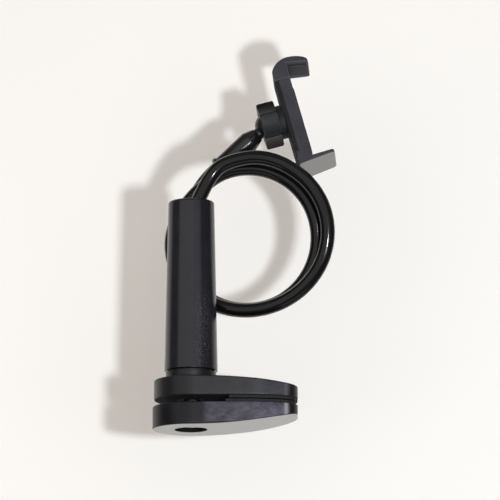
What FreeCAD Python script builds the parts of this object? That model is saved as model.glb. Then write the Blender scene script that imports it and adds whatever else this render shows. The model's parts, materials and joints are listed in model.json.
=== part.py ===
import FreeCAD, Part
import Sketcher
import math
import os

# Bedside phone holder: a clamp with a turning handle, a coiled gooseneck and a sprung phone cradle.
# Millimetres. Origin on the handle's axis at the seat plane of the upper jaw's pad.
# X is the way the jaws reach, Z is up along the handle.

Vector = FreeCAD.Vector
Constraint = Sketcher.Constraint

doc = FreeCAD.newDocument("PhoneHolder")
sheet = doc.addObject("Spreadsheet::Sheet", "Dims")

DRIVING = (
    # clearances
    ("run_gap", "0.06"),  # radial, between pieces that turn or slide on each other
    ("fit_gap", "0.04"),  # between pieces fixed together
    ("seat_gap", "0.25"),  # axial, between pieces that move apart
    # clamp jaws
    ("jaw_half", "25.5"),
    ("jaw_reach", "68"),
    ("jaw_tip_length", "7"),  # rounded tip, along the reach
    ("jaw_taper_length", "25"),
    ("jaw_taper_half", "20"),
    ("upper_jaw_height", "12.8"),
    ("lower_jaw_height", "14.5"),
    ("upper_tip_drop", "5.3"),
    ("lower_tip_drop", "8.3"),
    ("upper_heel_shift", "1.9"),  # round end's centre from the handle's axis
    ("lower_heel_shift", "1"),
    ("jaw_bevel", "0.9"),
    ("boss_diameter", "32"),
    ("boss_height", "5.1"),
    ("pad_height", "1.7"),
    ("pad_inset", "1.1"),
    ("upper_pad_from", "24.3"),
    ("lower_pad_from", "22.2"),
    ("pad_spacing", "0.8"),  # between the two pads as photographed
    # screw
    ("spindle_diameter", "12"),
    ("spindle_flats", "9.6"),
    ("spindle_length", "101"),
    ("spindle_seat", "2"),
    ("bushing_diameter", "18"),
    ("washer_height", "1"),
    ("counterbore_diameter", "21"),
    ("counterbore_depth", "6.4"),
    ("bolt_diameter", "6"),
    ("bolt_grip", "16"),
    ("bolt_head_diameter", "10.4"),
    ("bolt_head_height", "3"),
    ("bolt_socket", "5"),
    ("bolt_washer_diameter", "17"),
    ("bolt_washer_height", "1.2"),
    # handle
    ("tube_bottom_diameter", "34"),
    ("tube_top_diameter", "29.4"),
    ("tube_length", "110"),
    ("tube_rim_radius", "1.7"),
    ("nut_diameter", "25"),
    ("nut_height", "16"),
    ("tube_bore", "20"),
    ("plug_floor", "78"),  # height of the swivel seat above the tube's bottom
    ("plug_bore", "24"),
    # arm
    ("plug_height", "8"),
    ("plug_neck_diameter", "14"),
    ("plug_neck_height", "5"),
    ("ring_height", "1.2"),
    ("ring_groove", "1"),
    ("ring_width", "2.6"),
    ("arm_diameter", "9.2"),
    ("arm_root", "2"),  # gooseneck's end above the plug's underside
    ("arm_exit_reach", "4.9"),  # the arm leaves the handle here, from its axis
    ("arm_exit_rise", "2.2"),  # above the handle's top
    ("arm_lean_reach", "11.2"),
    ("arm_lean_rise", "14.8"),
    ("arm_join_reach", "17.4"),  # where the coil begins
    ("arm_join_rise", "22.6"),
    ("arm_return_reach", "2.8"),  # last turn behind the handle, on its far side
    ("arm_return_drop", "28.5"),  # below the ball's sleeve
    ("arm_return_depth", "4.5"),
    ("arm_spacing", "0.5"),  # least gap between turns of the coil
    ("coil_front", "4"),  # first turn in front of the handle's axis
    ("coil_radius", "51.9"),  # sideways
    ("coil_tall_radius", "49"),  # upward
    ("coil_reach", "36.5"),  # coil's centre from the handle's axis
    ("coil_drop", "19.6"),  # coil's centre below the handle's top
    ("inner_coil_radius", "45.5"),
    ("inner_coil_reach", "36.4"),
    ("inner_coil_drop", "21.2"),
    # ball joint
    ("ball_reach", "49.3"),
    ("ball_depth", "22"),
    ("ball_rise", "54.4"),  # ball's centre above the handle's top
    ("ball_diameter", "17"),
    ("neck_diameter", "7.8"),
    ("shank_diameter", "6"),
    ("shank_length", "14"),
    ("shank_bead", "0.5"),
    ("sleeve_length", "39.6"),  # from the ball's centre to the sleeve's small end
    ("sleeve_belly", "16.2"),  # from the ball's centre to the thickest place
    ("sleeve_nose", "9.5"),  # from the ball's centre to the sleeve's nose
    ("sleeve_end_diameter", "11.2"),
    ("sleeve_belly_diameter", "13.7"),
    ("sleeve_nose_diameter", "9.4"),
    ("sleeve_socket", "13"),  # how deep the gooseneck goes in
    ("bead_diameter", "13.4"),
    ("bead_length", "3.4"),
    ("lock_nut_diameter", "30"),
    ("lock_nut_back", "4.4"),
    ("lock_nut_front", "7"),
    ("lock_nut_bevel", "0.8"),
    ("lock_nut_lobes", "6"),
    ("lobe_radius", "40"),
    ("lobe_depth", "2.4"),
    ("lobe_turn", "24.8"),  # degrees that the nut stands turned
    ("collet_diameter", "20.6"),
    ("collet_slot", "1.6"),
    ("flange_diameter", "22"),
    # cradle, seen from the ball's centre
    ("socket_tilt", "15"),  # degrees that the socket's axis climbs
    ("socket_spin", "14.5"),  # degrees that the cradle is turned about that axis
    ("cradle_width", "24"),
    ("bar_back", "11.2"),
    ("bar_front", "21.6"),
    ("cover_thickness", "2.6"),
    ("shell_top", "23.9"),
    ("shell_bottom", "37.9"),
    ("cover_bottom", "28.6"),
    ("shell_wall", "2"),
    ("shell_roof", "2.6"),
    ("heel_inset", "1"),
    ("lip_reach", "14.3"),
    ("lip_thickness", "2"),
    ("lip_lean", "2.3"),
    ("lower_lip_root", "2.2"),  # extra thickness where the lower lip leaves the shell
    ("upper_lip_drop", "4"),  # from the crown to the upper lip's tip
    ("upper_lip_root", "1.6"),  # extra thickness where the upper lip leaves the head
    ("crown_shift", "1.8"),  # crown's place past the front face
    ("lip_tip_width", "23.4"),
    ("lip_corner", "2.4"),
    ("head_gap", "0.3"),
    ("head_shoulder", "6.6"),
    ("head_crown", "14.4"),
    ("lip_pad_thickness", "0.8"),
    ("lip_pad_width", "13"),
    ("lip_pad_inset", "1.6"),
    ("rest_pad_width", "15"),
    ("rest_pad_top", "19"),
    ("rest_pad_bottom", "29"),
    ("rest_pad_corner", "3"),
    ("rest_pad_thickness", "0.6"),
    ("pin_diameter", "3"),
    ("pin_spacing", "13"),
    ("pin_drop", "41"),  # pin's length below the slider's underside
    ("pin_grip", "5.5"),  # pin's length inside the slider
    ("pin_head_diameter", "4.6"),
    ("pin_head_height", "1.4"),
    ("spring_diameter", "4.8"),
    ("spring_wire", "0.7"),
    ("screw_spacing", "34"),
    ("screw_diameter", "2"),
    ("screw_head_diameter", "3.8"),
    ("screw_head_height", "1.3"),
    ("screw_length", "7"),
    ("screw_post_diameter", "4.6"),
    ("edge_round", "1"),
    ("parting_round", "0.5"),
)
for row, (alias, text) in enumerate(DRIVING, start=1):
    sheet.set("A%d" % row, alias)
    sheet.set("B%d" % row, text)
    sheet.setAlias("B%d" % row, alias)
doc.recompute()


class Size:
    # A number together with the sheet expression that gives it.
    def __init__(self, value, text):
        self.value = float(value)
        self.text = text

    def join(self, other, sign, value):
        other = as_size(other)
        return Size(value(self.value, other.value), "(%s %s %s)" % (self.text, sign, other.text))

    def __add__(self, other):
        return self.join(other, "+", lambda a, b: a + b)

    def __radd__(self, other):
        return as_size(other) + self

    def __sub__(self, other):
        return self.join(other, "-", lambda a, b: a - b)

    def __rsub__(self, other):
        return as_size(other) - self

    def __mul__(self, other):
        return self.join(other, "*", lambda a, b: a * b)

    def __rmul__(self, other):
        return as_size(other) * self

    def __truediv__(self, other):
        return self.join(other, "/", lambda a, b: a / b)

    def __neg__(self):
        return 0 - self

    def root(self):
        return Size(math.sqrt(self.value), "sqrt(%s)" % self.text)


def as_size(number):
    if isinstance(number, Size):
        return number
    return Size(number, "%.6g" % number if number >= 0 else "(%.6g)" % number)


class Dims:
    # Named sizes, read back from the sheet.
    def __getattr__(self, alias):
        return Size(getattr(sheet, alias), "Dims." + alias)


d = Dims()
nodes = []


def new_body(name):
    body = doc.addObject("PartDesign::Body", name)
    body.Label = name
    nodes.append(body)
    return body


def plane_of(body, role):
    return [f for f in body.Origin.OriginFeatures if f.Role == role][0]


def bind(target, path, size):
    target.setExpression(path, as_size(size).text)


def fix_point(sk, geo, end, x, y):
    # Ties one point of a sketch to its two coordinates.
    for size, kind, axis in ((x, "DistanceX", -2), (y, "DistanceY", -1)):
        size = as_size(size)
        if abs(size.value) < 1e-9:
            sk.addConstraint(Constraint("PointOnObject", geo, end, axis))
            continue
        at = sk.addConstraint(Constraint(kind, -1, 1, geo, end, size.value))
        bind(sk, "Constraints[%d]" % at, size)


def draw_loop(sk, loop):
    # A closed outline. A third value on a point is the radius of the arc that leaves it:
    # positive turns left, negative turns right.
    ends = []
    for here, there in zip(loop, loop[1:] + loop[:1]):
        start = Vector(as_size(here[0]).value, as_size(here[1]).value, 0)
        stop = Vector(as_size(there[0]).value, as_size(there[1]).value, 0)
        if len(here) == 2:
            geo = sk.addGeometry(Part.LineSegment(start, stop), False)
            ends.append((geo, 1, 2))
            continue
        bend = as_size(here[2])
        radius = abs(bend.value)
        side = 1 if bend.value > 0 else -1
        chord = stop - start
        away = math.sqrt(max(radius ** 2 - (chord.Length / 2) ** 2, 0))
        across = Vector(-chord.y, chord.x, 0).normalize()
        centre = (start + stop) * 0.5 + across * (away * side)
        first, last = (start, stop) if side > 0 else (stop, start)
        turn = [math.atan2(p.y - centre.y, p.x - centre.x) for p in (first, last)]
        circle = Part.Circle(centre, Vector(0, 0, 1), radius)
        geo = sk.addGeometry(Part.ArcOfCircle(circle, turn[0], turn[1]), False)
        at = sk.addConstraint(Constraint("Radius", geo, radius))
        bind(sk, "Constraints[%d]" % at, bend if side > 0 else -bend)
        ends.append((geo, 1, 2) if side > 0 else (geo, 2, 1))
    for this, following in zip(ends, ends[1:] + ends[:1]):
        sk.addConstraint(Constraint("Coincident", this[0], this[2], following[0], following[1]))
    for point, end in zip(loop, ends):
        fix_point(sk, end[0], end[1], point[0], point[1])


def draw_circle(sk, x, y, radius):
    spot = Vector(as_size(x).value, as_size(y).value, 0)
    geo = sk.addGeometry(Part.Circle(spot, Vector(0, 0, 1), radius.value), False)
    at = sk.addConstraint(Constraint("Radius", geo, radius.value))
    bind(sk, "Constraints[%d]" % at, radius)
    fix_point(sk, geo, 3, x, y)


def new_sketch(body, name, role, height=None):
    sk = body.newObject("Sketcher::SketchObject", name)
    sk.AttachmentSupport = [(plane_of(body, role), "")]
    sk.MapMode = "FlatFace"
    if height is not None:
        bind(sk, "AttachmentOffset.Base.z", height)
    return sk


def outline(body, name, role, *loops, height=None):
    sk = new_sketch(body, name, role, height)
    for loop in loops:
        draw_loop(sk, list(loop))
    return sk


def rounds(body, name, role, *circles, height=None):
    sk = new_sketch(body, name, role, height)
    for x, y, radius in circles:
        draw_circle(sk, x, y, as_size(radius))
    return sk


def turned(body, name, loop):
    # A full turn about Z of an outline drawn as radius and height.
    sk = outline(body, name + "_profile", "XZ_Plane", loop)
    solid = body.newObject("PartDesign::Revolution", name)
    solid.Profile = sk
    solid.ReferenceAxis = (sk, ["V_Axis"])
    solid.Angle = 360
    return solid


def pad(body, name, sk, length, symmetric=False):
    solid = body.newObject("PartDesign::Pad", name)
    solid.Profile = sk
    if symmetric:
        solid.SideType = "Symmetric"
    bind(solid, "Length", length)
    return solid


def pocket(body, name, sk, length=None, upward=False, symmetric=False):
    cut = body.newObject("PartDesign::Pocket", name)
    cut.Profile = sk
    if symmetric:
        cut.SideType = "Symmetric"
    if length is None:
        cut.Type = "ThroughAll"
    else:
        bind(cut, "Length", length)
    cut.Reversed = upward
    return cut


def eased(body, name, kind, size, pick):
    # Fillet or chamfer on the edges that pick accepts.
    doc.recompute()
    base = body.Tip
    edges = ["Edge%d" % (i + 1) for i, e in enumerate(base.Shape.Edges) if pick(e)]
    finish = body.newObject("PartDesign::" + kind, name)
    finish.Base = (base, edges)
    bind(finish, "Radius" if kind == "Fillet" else "Size", size)
    return finish


def box_of(edge):
    return edge.BoundBox


# Heights along the handle's axis.
upper_bottom = d.pad_height
upper_top = upper_bottom + d.upper_jaw_height
boss_top = upper_top + d.boss_height
tube_bottom = boss_top + d.washer_height + d.seat_gap + d.fit_gap
tube_top = tube_bottom + d.tube_length
lower_pad_top = -d.pad_spacing
lower_top = lower_pad_top - d.pad_height
lower_bottom = lower_top - d.lower_jaw_height


def jaw_plan(inset, start=None, shift=0):
    # Plan of a jaw or its pad: a round or straight start, long sides, a soft taper and a rounded tip.
    half = d.jaw_half - inset
    end_half = d.jaw_taper_half - inset
    reach = d.jaw_reach - inset
    taper_to = d.jaw_reach - d.jaw_tip_length
    run = d.jaw_taper_length
    taper_from = taper_to - run
    drop = d.jaw_half - d.jaw_taper_half
    sweep = (run * run + drop * drop) / (2 * drop)
    sine = run / sweep
    cosine = (1 - sine * sine).root()
    corner = (reach - taper_to) / (1 - sine)
    tip_half = end_half - corner * cosine
    side = [
        (taper_from, -half, sweep),
        (taper_to, -end_half, corner),
        (reach, -tip_half),
        (reach, tip_half, corner),
        (taper_to, end_half, sweep),
        (taper_from, half),
    ]
    if start is None:
        # the round end is drawn as two quarter turns
        return [(shift, -half)] + side + [(shift, half, half), (shift - half, 0, half)]
    return [(start, -half)] + side + [(start, half)]


def jaw(name, inner, height, outward, drop, shift):
    # A jaw whose inner face is flat and whose outer face falls away toward the tip.
    body = new_body(name)
    outer = inner + outward * height
    tip = inner + outward * (height - drop)
    reach = d.jaw_reach
    sweep = (reach * reach + drop * drop) / (2 * drop)
    side = [
        (-d.jaw_half, inner),
        (reach, inner),
        (reach, tip, outward * sweep),
        (0, outer),
        (-d.jaw_half, outer),
    ]
    pad(body, name + "_block", outline(body, name + "_side", "XZ_Plane", side), 2 * d.jaw_half, True)
    edge = 2
    frame = [
        (-d.jaw_half - edge, -d.jaw_half - edge),
        (reach + edge, -d.jaw_half - edge),
        (reach + edge, d.jaw_half + edge),
        (-d.jaw_half - edge, d.jaw_half + edge),
    ]
    plan = outline(body, name + "_plan", "XY_Plane", frame, jaw_plan(as_size(0), None, shift))
    pocket(body, name + "_trim", plan, symmetric=True)
    eased(body, name + "_bevel", "Fillet", d.jaw_bevel, lambda e: abs(e.Length) > 2 and is_rim(e))
    return body


def is_rim(edge):
    # An edge that runs round a jaw rather than up its wall.
    box = box_of(edge)
    return max(box.XLength, box.YLength) > 2


upper_jaw = jaw(
    "upper_jaw", upper_bottom, d.upper_jaw_height, 1, d.upper_tip_drop, d.upper_heel_shift
)
boss = rounds(upper_jaw, "boss_plan", "XY_Plane", (0, 0, d.boss_diameter / 2), height=upper_top - 1)
pad(upper_jaw, "boss", boss, d.boss_height + 1)
seat_hole = rounds(
    upper_jaw,
    "bushing_hole_plan",
    "XY_Plane",
    (0, 0, d.bushing_diameter / 2 + d.fit_gap),
    height=upper_bottom,
)
pocket(upper_jaw, "bushing_hole", seat_hole, symmetric=True)

lower_jaw = jaw(
    "lower_jaw", lower_top, d.lower_jaw_height, -1, d.lower_tip_drop, d.lower_heel_shift
)
head_hole = rounds(
    lower_jaw,
    "counterbore_plan",
    "XY_Plane",
    (0, 0, d.counterbore_diameter / 2),
    height=lower_bottom,
)
pocket(lower_jaw, "counterbore", head_hole, d.counterbore_depth, upward=True)
bolt_hole = rounds(
    lower_jaw,
    "bolt_hole_plan",
    "XY_Plane",
    (0, 0, d.bolt_diameter / 2 + d.fit_gap),
    height=lower_bottom,
)
pocket(lower_jaw, "bolt_hole", bolt_hole, symmetric=True)


def double_d(gap):
    # The spindle's section, a circle with two flats.
    radius = d.spindle_diameter / 2 + gap
    flat = d.spindle_flats / 2 + gap
    chord = (radius * radius - flat * flat).root()
    return [(chord, -flat, radius), (chord, flat), (-chord, flat, radius), (-chord, -flat)]


seat = outline(lower_jaw, "spindle_seat_plan", "XY_Plane", double_d(d.fit_gap), height=lower_top)
pocket(lower_jaw, "spindle_recess", seat, d.spindle_seat + d.fit_gap)


def jaw_pad(name, start, underside):
    body = new_body(name)
    plan = outline(body, name + "_plan", "XY_Plane", jaw_plan(d.pad_inset, start), height=underside)
    pad(body, name + "_block", plan, d.pad_height - d.fit_gap)
    return body


jaw_pad("upper_jaw_pad", d.upper_pad_from, as_size(0))
jaw_pad("lower_jaw_pad", d.lower_pad_from, lower_top + d.fit_gap)

bushing = new_body("keyed_bushing")
bushing_plan = rounds(
    bushing, "bushing_plan", "XY_Plane", (0, 0, d.bushing_diameter / 2), height=upper_bottom
)
pad(bushing, "bushing_barrel", bushing_plan, boss_top - upper_bottom)
keyway = outline(bushing, "keyway_plan", "XY_Plane", double_d(d.run_gap), height=upper_bottom)
pocket(bushing, "keyway", keyway, symmetric=True)

washer = new_body("thrust_washer")
inner = d.spindle_diameter / 2 + 4 * d.run_gap
turned(
    washer,
    "thrust_ring",
    [
        (inner, boss_top + d.fit_gap),
        (d.boss_diameter / 2 - 1, boss_top + d.fit_gap),
        (d.boss_diameter / 2 - 1, boss_top + d.fit_gap + d.washer_height),
        (inner, boss_top + d.fit_gap + d.washer_height),
    ],
)

spindle_bottom = lower_top - d.spindle_seat
spindle = new_body("clamp_spindle")
section = outline(spindle, "spindle_section", "XY_Plane", double_d(as_size(0)), height=spindle_bottom)
pad(spindle, "spindle_rod", section, d.spindle_length)
tapping = rounds(
    spindle,
    "spindle_tapping_plan",
    "XY_Plane",
    (0, 0, d.bolt_diameter / 2 + d.fit_gap),
    height=spindle_bottom,
)
pocket(spindle, "spindle_tapping", tapping, d.bolt_grip, upward=True)

web_bottom = lower_bottom + d.counterbore_depth
washer_bottom = web_bottom - d.fit_gap - d.bolt_washer_height
plain_washer = new_body("spindle_washer")
turned(
    plain_washer,
    "spindle_washer_ring",
    [
        (d.bolt_diameter / 2 + d.fit_gap, washer_bottom),
        (d.bolt_washer_diameter / 2, washer_bottom),
        (d.bolt_washer_diameter / 2, washer_bottom + d.bolt_washer_height),
        (d.bolt_diameter / 2 + d.fit_gap, washer_bottom + d.bolt_washer_height),
    ],
)
bolt = new_body("spindle_bolt")
head_top = washer_bottom - d.fit_gap
turned(
    bolt,
    "bolt_blank",
    [
        (0, head_top - d.bolt_head_height),
        (d.bolt_head_diameter / 2 - 0.5, head_top - d.bolt_head_height),
        (d.bolt_head_diameter / 2, head_top - d.bolt_head_height + 0.5),
        (d.bolt_head_diameter / 2, head_top),
        (d.bolt_diameter / 2, head_top),
        (d.bolt_diameter / 2, spindle_bottom + d.bolt_grip - 2),
        (0, spindle_bottom + d.bolt_grip - 2),
    ],
)


def hexagon(across):
    half = across / 2
    side = across / math.sqrt(3)
    return [
        (side, 0),
        (side / 2, half),
        (-side / 2, half),
        (-side, 0),
        (-side / 2, -half),
        (side / 2, -half),
    ]


drive = outline(
    bolt, "bolt_socket_plan", "XY_Plane", hexagon(d.bolt_socket), height=head_top - d.bolt_head_height
)
pocket(bolt, "bolt_socket", drive, d.bolt_head_height - 1, upward=True)

# Handle: a tapered tube with a nut at its foot and a swivel seat near its top.
tube = new_body("handle_tube")
low = d.tube_bottom_diameter / 2
high = d.tube_top_diameter / 2
rim = d.tube_rim_radius
plug_seat = tube_bottom + d.plug_floor
ring_bottom = plug_seat + d.run_gap + d.plug_height + d.fit_gap
groove = d.plug_bore / 2 + d.ring_groove
turned(
    tube,
    "tube_wall",
    [
        (d.nut_diameter / 2 + d.fit_gap, tube_bottom),
        (low, tube_bottom),
        (high, tube_top - rim, rim),
        (high - rim, tube_top),
        (d.plug_bore / 2, tube_top),
        (d.plug_bore / 2, ring_bottom + d.ring_height + 2 * d.fit_gap),
        (groove, ring_bottom + d.ring_height + 2 * d.fit_gap),
        (groove, ring_bottom),
        (d.plug_bore / 2, ring_bottom),
        (d.plug_bore / 2, plug_seat),
        (d.tube_bore / 2, plug_seat),
        (d.tube_bore / 2, tube_bottom + d.nut_height),
        (d.nut_diameter / 2 + d.fit_gap, tube_bottom + d.nut_height),
    ],
)
nut = new_body("handle_nut")
nut_bore = d.spindle_diameter / 2 + d.run_gap
turned(
    nut,
    "nut_barrel",
    [
        (nut_bore, tube_bottom + d.fit_gap),
        (d.nut_diameter / 2, tube_bottom + d.fit_gap),
        (d.nut_diameter / 2, tube_bottom + d.nut_height - d.fit_gap),
        (nut_bore, tube_bottom + d.nut_height - d.fit_gap),
    ],
)
ring = new_body("arm_retaining_ring")
ring_outer = groove - d.fit_gap
turned(
    ring,
    "ring_band",
    [
        (ring_outer - d.ring_width, ring_bottom + d.fit_gap),
        (ring_outer, ring_bottom + d.fit_gap),
        (ring_outer, ring_bottom + d.fit_gap + d.ring_height),
        (ring_outer - d.ring_width, ring_bottom + d.fit_gap + d.ring_height),
    ],
)
slot = d.ring_width
mouth = outline(
    ring,
    "ring_mouth_plan",
    "XY_Plane",
    [(0, -slot), (ring_outer + 1, -slot), (ring_outer + 1, slot), (0, slot)],
    height=ring_bottom,
)
pocket(ring, "ring_mouth", mouth, symmetric=True)

# Arm root: a plug that swivels on its seat and grips the gooseneck.
plug = new_body("arm_plug")
plug_bottom = plug_seat + d.run_gap
arm = d.arm_diameter / 2
plug_top = plug_bottom + d.plug_height
turned(
    plug,
    "plug_barrel",
    [
        (0, plug_bottom),
        (d.plug_bore / 2 - d.run_gap, plug_bottom),
        (d.plug_bore / 2 - d.run_gap, plug_top),
        (d.plug_neck_diameter / 2, plug_top),
        (d.plug_neck_diameter / 2, plug_top + d.plug_neck_height),
        (arm + d.fit_gap, plug_top + d.plug_neck_height),
        (arm + d.fit_gap, plug_bottom + d.arm_root - d.fit_gap),
        (0, plug_bottom + d.arm_root - d.fit_gap),
    ],
)

# Ball joint: where the ball is, which way the sleeve points and how the cradle is turned.
rim_height = tube_top.value
ball = Vector(d.ball_reach.value, d.ball_depth.value, rim_height + d.ball_rise.value)
tilt = math.radians(d.socket_tilt.value)
spin = math.radians(d.socket_spin.value)
socket_axis = Vector(math.cos(tilt), 0, math.sin(tilt))
level_up = Vector(-math.sin(tilt), 0, math.cos(tilt))
cradle_up = level_up * math.cos(spin) + Vector(0, 1, 0) * math.sin(spin)
cradle_across = cradle_up.cross(socket_axis)
stem_axis = Vector(0.752, 0.04, 0.658).normalize()
cradle_place = FreeCAD.Placement(ball, FreeCAD.Rotation(socket_axis, cradle_across, cradle_up, "XZY"))
nut_place = FreeCAD.Placement(ball, FreeCAD.Rotation(cradle_across, cradle_up, socket_axis, "ZXY"))
stem_place = FreeCAD.Placement(ball, FreeCAD.Rotation(Vector(0, 0, 1), stem_axis))

# Gooseneck: up out of the tube, two turns of coil that pass behind the handle, then into the sleeve.
turn_gap = d.arm_diameter.value + d.arm_spacing.value
behind_tube = low.value + arm.value
sleeve_end = ball - stem_axis * d.sleeve_length.value


def coil_point(angle, depth, inner_share, squeeze=1.0):
    # A point of the coil, its angle clockwise from the top, between the outer and inner turns.
    def mixed(outer, inside):
        return outer.value + (inside.value - outer.value) * inner_share

    wide = mixed(d.coil_radius, d.inner_coil_radius) * squeeze
    tall = mixed(d.coil_tall_radius, d.inner_coil_radius) * squeeze
    centre_x = mixed(d.coil_reach, d.inner_coil_reach)
    centre_z = rim_height - mixed(d.coil_drop, d.inner_coil_drop)
    turn = math.radians(angle)
    return Vector(centre_x + wide * math.sin(turn), depth, centre_z + tall * math.cos(turn))


def eased_between(stations, angle):
    # Depth at an angle, smoothly between the stations either side.
    for (a0, y0), (a1, y1) in zip(stations, stations[1:]):
        if angle <= a1:
            share = (angle - a0) / (a1 - a0)
            share = share * share * (3 - 2 * share)
            return y0 + (y1 - y0) * share
    return stations[-1][1]


front_depth = -d.coil_front.value
second_depth = front_depth + turn_gap * 1.2
depths = (
    (0, front_depth),
    (50, front_depth),
    (228, behind_tube),
    (297, behind_tube),
    (345, second_depth),
    (400, second_depth),
    (540, behind_tube + turn_gap * 0.3),
    (588, behind_tube + turn_gap),
    (640, behind_tube + turn_gap),
)
step = 22.5
bend = d.coil_radius.value * math.sin(math.radians(step / 2))  # half a chord of the coil
neck_top = (plug_top + d.plug_neck_height).value
route = [
    Vector(0, 0, (plug_bottom + d.arm_root).value),
    Vector(0, 0, neck_top + bend),
    Vector(d.arm_exit_reach.value, 0, rim_height + d.arm_exit_rise.value),
    Vector(d.arm_lean_reach.value, 0, rim_height + d.arm_lean_rise.value),
    Vector(d.arm_join_reach.value, front_depth * 0.3, rim_height + d.arm_join_rise.value),
    coil_point(-11, front_depth * 0.6, 0, 0.96),
    coil_point(5, front_depth, 0, 0.995),
]
for count in range(28):
    angle = 22.5 + step * count
    share = min(max((angle - 255) / 57, 0), 1)
    route.append(coil_point(angle, eased_between(depths, angle), share))
route += [
    Vector(
        -d.arm_return_reach.value,
        sleeve_end.y + d.arm_return_depth.value,
        sleeve_end.z - d.arm_return_drop.value,
    ),
    sleeve_end - stem_axis * (d.bead_length.value + bend + d.seat_gap.value),
    sleeve_end + stem_axis * d.sleeve_socket.value,
]


def smooth_path(points):
    # Runs between the points with an arc tangent at every corner.
    edges = []
    here = points[0]
    for before, corner, after in zip(points, points[1:], points[2:]):
        way_in = (corner - before).normalize()
        way_out = (after - corner).normalize()
        turn = way_in.getAngle(way_out)
        trim = min(0.499 * (corner - before).Length, 0.499 * (after - corner).Length, bend)
        start = corner - way_in * trim
        stop = corner + way_out * trim
        if (start - here).Length > 1e-6:
            edges.append(Part.LineSegment(here, start).toShape())
        if turn < 1e-4:
            edges.append(Part.LineSegment(start, stop).toShape())
        else:
            radius = trim / math.tan(turn / 2)
            inward = (way_out - way_in).normalize()
            depth = radius / math.cos(turn / 2) - radius
            edges.append(Part.Arc(start, corner + inward * depth, stop).toShape())
        here = stop
    edges.append(Part.LineSegment(here, points[-1]).toShape())
    return Part.Wire(edges)


spine = doc.addObject("Part::Feature", "gooseneck_path")
spine.Shape = smooth_path(route)
arm_section = doc.addObject("Part::Circle", "gooseneck_section")
bind(arm_section, "Radius", arm)
arm_section.Placement = FreeCAD.Placement(route[0], FreeCAD.Rotation())
doc.recompute()
gooseneck = doc.addObject("Part::Sweep", "gooseneck")
gooseneck.Label = "gooseneck"
gooseneck.Sections = [arm_section]
gooseneck.Spine = (spine, ["Edge%d" % (i + 1) for i in range(len(spine.Shape.Edges))])
gooseneck.Solid = True
gooseneck.Frenet = False
nodes.append(gooseneck)

# Sleeve and ball, drawn along the stem with the ball's centre at zero.
sleeve = new_body("ball_sleeve")
shank = d.shank_diameter / 2
shank_end = -(d.sleeve_nose + d.shank_length)
socket_floor = -d.sleeve_length + d.sleeve_socket + d.fit_gap
groove_from = shank_end + 1
groove_to = groove_from + 1.6
turned(
    sleeve,
    "sleeve_wall",
    [
        (arm + d.fit_gap, -d.sleeve_length),
        (d.sleeve_end_diameter / 2, -d.sleeve_length),
        (d.sleeve_belly_diameter / 2, -d.sleeve_belly),
        (d.sleeve_nose_diameter / 2, -d.sleeve_nose),
        (shank + d.run_gap, -d.sleeve_nose),
        (shank + d.run_gap, groove_to + d.run_gap),
        (shank + d.shank_bead + d.run_gap, groove_to + d.run_gap),
        (shank + d.shank_bead + d.run_gap, groove_from - d.run_gap),
        (shank + d.run_gap, groove_from - d.run_gap),
        (shank + d.run_gap, socket_floor),
        (arm + d.fit_gap, socket_floor),
    ],
)
sleeve.Placement = stem_place
bead = new_body("sleeve_ring")
bead_inner = arm + d.fit_gap
bead_outer = d.bead_diameter / 2
bead_low = -d.sleeve_length - d.bead_length - d.fit_gap
bead_high = -d.sleeve_length - d.fit_gap
bead_round = d.bead_length / 2
turned(
    bead,
    "bead_band",
    [
        (bead_inner, bead_low),
        (bead_outer - bead_round, bead_low, bead_round),
        (bead_outer, bead_low + bead_round, bead_round),
        (bead_outer - bead_round, bead_high),
        (bead_inner, bead_high),
    ],
)
bead.Placement = stem_place
stud = new_body("ball_stud")
ball_radius = d.ball_diameter / 2
neck = d.neck_diameter / 2
neck_height = -(ball_radius * ball_radius - neck * neck).root()
neck_bottom = -d.sleeve_nose + d.run_gap
turned(
    stud,
    "stud_blank",
    [
        (0, shank_end),
        (shank, shank_end),
        (shank, groove_from),
        (shank + d.shank_bead, groove_from),
        (shank + d.shank_bead, groove_to),
        (shank, groove_to),
        (shank, neck_bottom),
        (neck, neck_bottom),
        (neck, neck_height, ball_radius),
        (ball_radius, 0, ball_radius),
        (0, ball_radius),
    ],
)
stud.Placement = stem_place

# Lock nut, drawn along the socket's axis.
lock_nut = new_body("lock_nut")
seat_radius = ball_radius + d.run_gap
nut_outer = d.lock_nut_diameter / 2
nut_low = -d.lock_nut_back
nut_high = d.lock_nut_front
bevel = d.lock_nut_bevel
collet = d.collet_diameter / 2
mouth_low = nut_low + 1.2
mouth_radius = (seat_radius * seat_radius - mouth_low * mouth_low).root()
turned(
    lock_nut,
    "lock_nut_blank",
    [
        (mouth_radius + 1.2, nut_low),
        (nut_outer - bevel, nut_low),
        (nut_outer, nut_low + bevel),
        (nut_outer, nut_high - bevel),
        (nut_outer - bevel, nut_high),
        (collet + d.run_gap, nut_high),
        (collet + d.run_gap, 0.6),
        (seat_radius, 0.6),
        (seat_radius, 0, -seat_radius),
        (mouth_radius, mouth_low),
    ],
)
scallop = rounds(
    lock_nut,
    "scallop_plan",
    "XY_Plane",
    (nut_outer + d.lobe_radius - d.lobe_depth, 0, d.lobe_radius),
)
scallop_cut = pocket(lock_nut, "scallop", scallop, symmetric=True)
lobes = lock_nut.newObject("PartDesign::PolarPattern", "lobes")
lobes.Originals = [scallop_cut]
lobes.Axis = (scallop, ["N_Axis"])
lobes.Angle = 360
bind(lobes, "Occurrences", d.lock_nut_lobes)
lock_nut.Tip = lobes
lock_nut.Placement = nut_place.multiply(
    FreeCAD.Placement(Vector(), FreeCAD.Rotation(Vector(0, 0, 1), d.lobe_turn.value))
)

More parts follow.
